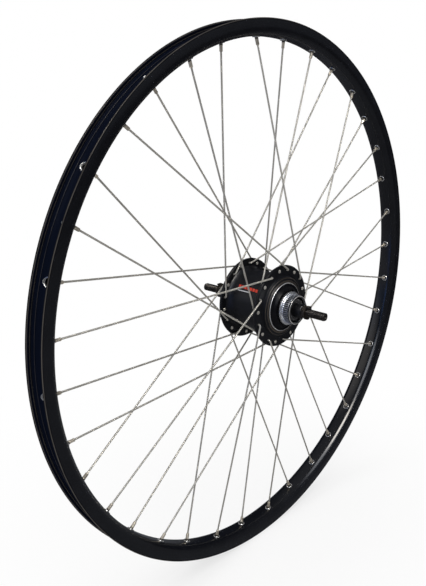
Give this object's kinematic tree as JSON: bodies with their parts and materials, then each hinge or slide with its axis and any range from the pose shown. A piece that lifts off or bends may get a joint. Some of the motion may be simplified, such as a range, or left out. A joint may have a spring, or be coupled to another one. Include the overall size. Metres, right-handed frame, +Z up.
{
  "type": "internally geared bicycle rear wheel",
  "caption": "Spoked bicycle rear wheel without tyre: double-wall rim laced to an internally geared hub with a splined disc rotor mount, flatted axle and epicyclic gears inside.",
  "frame": {"origin": "centre of the wheel: on the axle's axis, in the rim's middle plane", "axes": "+Y along the axle towards the sprocket side (the disc side is -Y), +Z up, +X in the wheel's plane"},
  "size_m": [0.6339, 0.184, 0.634],
  "materials": {
    "rim_black": "satin black anodised extrusion with fine draw lines",
    "eyelet_silver": "bright pressed eyelet",
    "nipple_silver": "nickel plated, satin",
    "spoke_steel": "drawn stainless wire, satin",
    "shell_black": "satin black anodised",
    "machined_silver": "bright turned ring",
    "cap_black": "semi-gloss black",
    "spline_silver": "bright machined steel",
    "bearing_steel": "ground and polished",
    "axle_dark": "dark brown-black zinc finish",
    "cone_dark": "dark hardened steel, semi-matte",
    "nut_brown": "brown-black passivated",
    "seal_rubber": "matte moulded rubber",
    "gear_steel": "hobbed and hardened, oiled",
    "driver_steel": "satin hardened steel",
    "retainer_plastic": "moulded nylon"
  },
  "bodies": {
    "axle_unit": {"axle": "axle_dark", "sun_gear": "gear_steel", "brake_side_cone": "cone_dark", "brake_side_seal": "seal_rubber", "brake_side_lock_nut": "nut_brown", "brake_side_tab_washer": "nut_brown", "drive_side_cone": "cone_dark", "drive_side_dust_cap": "cap_black", "drive_side_lock_nut": "nut_brown", "drive_side_tab_washer": "nut_brown"},
    "wheel": {"rim": "rim_black", "eyelets": "eyelet_silver", "spoke_nipples": "nipple_silver", "brake_inbound_spokes": "spoke_steel", "brake_outbound_spokes": "spoke_steel", "drive_inbound_spokes": "spoke_steel", "drive_outbound_spokes": "spoke_steel", "hub_shell": "shell_black", "brake_side_trim_ring": "machined_silver", "brake_side_end_cap": "cap_black", "splined_disc_mount": "spline_silver", "brake_side_nose_ring": "machined_silver", "brake_side_bearing_cup": "bearing_steel", "drive_side_ball_cup": "bearing_steel", "clutch_outer_race": "bearing_steel"},
    "driver_unit": {"driver": "driver_steel", "driver_dust_cover": "driver_steel", "ring_gear": "gear_steel"},
    "carrier_unit": {"planet_carrier": "gear_steel", "planet_pins": "bearing_steel", "clutch_rollers": "bearing_steel", "clutch_roller_cage": "retainer_plastic"},
    "planet_1": {"planet_gear_1": "gear_steel"},
    "planet_2": {"planet_gear_2": "gear_steel"},
    "planet_3": {"planet_gear_3": "gear_steel"},
    "planet_4": {"planet_gear_4": "gear_steel"},
    "shift_unit": {"shift_sleeve": "driver_steel"},
    "brake_side_bearing": {"brake_side_balls": "bearing_steel", "brake_side_ball_retainer": "retainer_plastic"},
    "drive_side_bearing": {"drive_side_balls": "bearing_steel", "drive_side_ball_retainer": "retainer_plastic"},
    "driver_bearing": {"driver_balls": "bearing_steel", "driver_ball_retainer": "retainer_plastic"}
  },
  "joints": [
    {"name": "wheel_spin", "type": "hinge", "parent": "axle_unit", "child": "wheel", "pos_m": [0, 0, 0], "axis": [0, 1, 0], "continuous": true},
    {"name": "driver_spin", "type": "hinge", "parent": "axle_unit", "child": "driver_unit", "pos_m": [0, 0, 0], "axis": [0, 1, 0], "continuous": true},
    {"name": "carrier_spin", "type": "hinge", "parent": "axle_unit", "child": "carrier_unit", "pos_m": [0, 0, 0], "axis": [0, 1, 0], "continuous": true},
    {"name": "planet_1_spin", "type": "hinge", "parent": "carrier_unit", "child": "planet_1", "pos_m": [0.019, 0, 0], "axis": [0, 1, 0], "continuous": true},
    {"name": "planet_2_spin", "type": "hinge", "parent": "carrier_unit", "child": "planet_2", "pos_m": [0, 0, 0.019], "axis": [0, 1, 0], "continuous": true},
    {"name": "planet_3_spin", "type": "hinge", "parent": "carrier_unit", "child": "planet_3", "pos_m": [-0.019, 0, 0], "axis": [0, 1, 0], "continuous": true},
    {"name": "planet_4_spin", "type": "hinge", "parent": "carrier_unit", "child": "planet_4", "pos_m": [0, 0, -0.019], "axis": [0, 1, 0], "continuous": true},
    {"name": "shift_sleeve_turn", "type": "hinge", "parent": "axle_unit", "child": "shift_unit", "pos_m": [0, 0, 0], "axis": [0, 1, 0], "range_deg": [0, 150]},
    {"name": "brake_side_bearing_roll", "type": "hinge", "parent": "axle_unit", "child": "brake_side_bearing", "pos_m": [0, 0, 0], "axis": [0, 1, 0], "continuous": true},
    {"name": "drive_side_bearing_roll", "type": "hinge", "parent": "axle_unit", "child": "drive_side_bearing", "pos_m": [0, 0, 0], "axis": [0, 1, 0], "continuous": true},
    {"name": "driver_bearing_roll", "type": "hinge", "parent": "axle_unit", "child": "driver_bearing", "pos_m": [0, 0, 0], "axis": [0, 1, 0], "continuous": true}
  ],
  "couplings": [
    {"joint": "carrier_spin", "follows": "driver_spin", "ratio": 0.71053},
    {"joint": "planet_1_spin", "follows": "driver_spin", "ratio": 0.97697},
    {"joint": "planet_2_spin", "follows": "driver_spin", "ratio": 0.97697},
    {"joint": "planet_3_spin", "follows": "driver_spin", "ratio": 0.97697},
    {"joint": "planet_4_spin", "follows": "driver_spin", "ratio": 0.97697},
    {"joint": "brake_side_bearing_roll", "follows": "wheel_spin", "ratio": 0.5842},
    {"joint": "drive_side_bearing_roll", "follows": "wheel_spin", "ratio": 0.534},
    {"joint": "driver_bearing_roll", "follows": "driver_spin", "ratio": 0.5693}
  ]
}
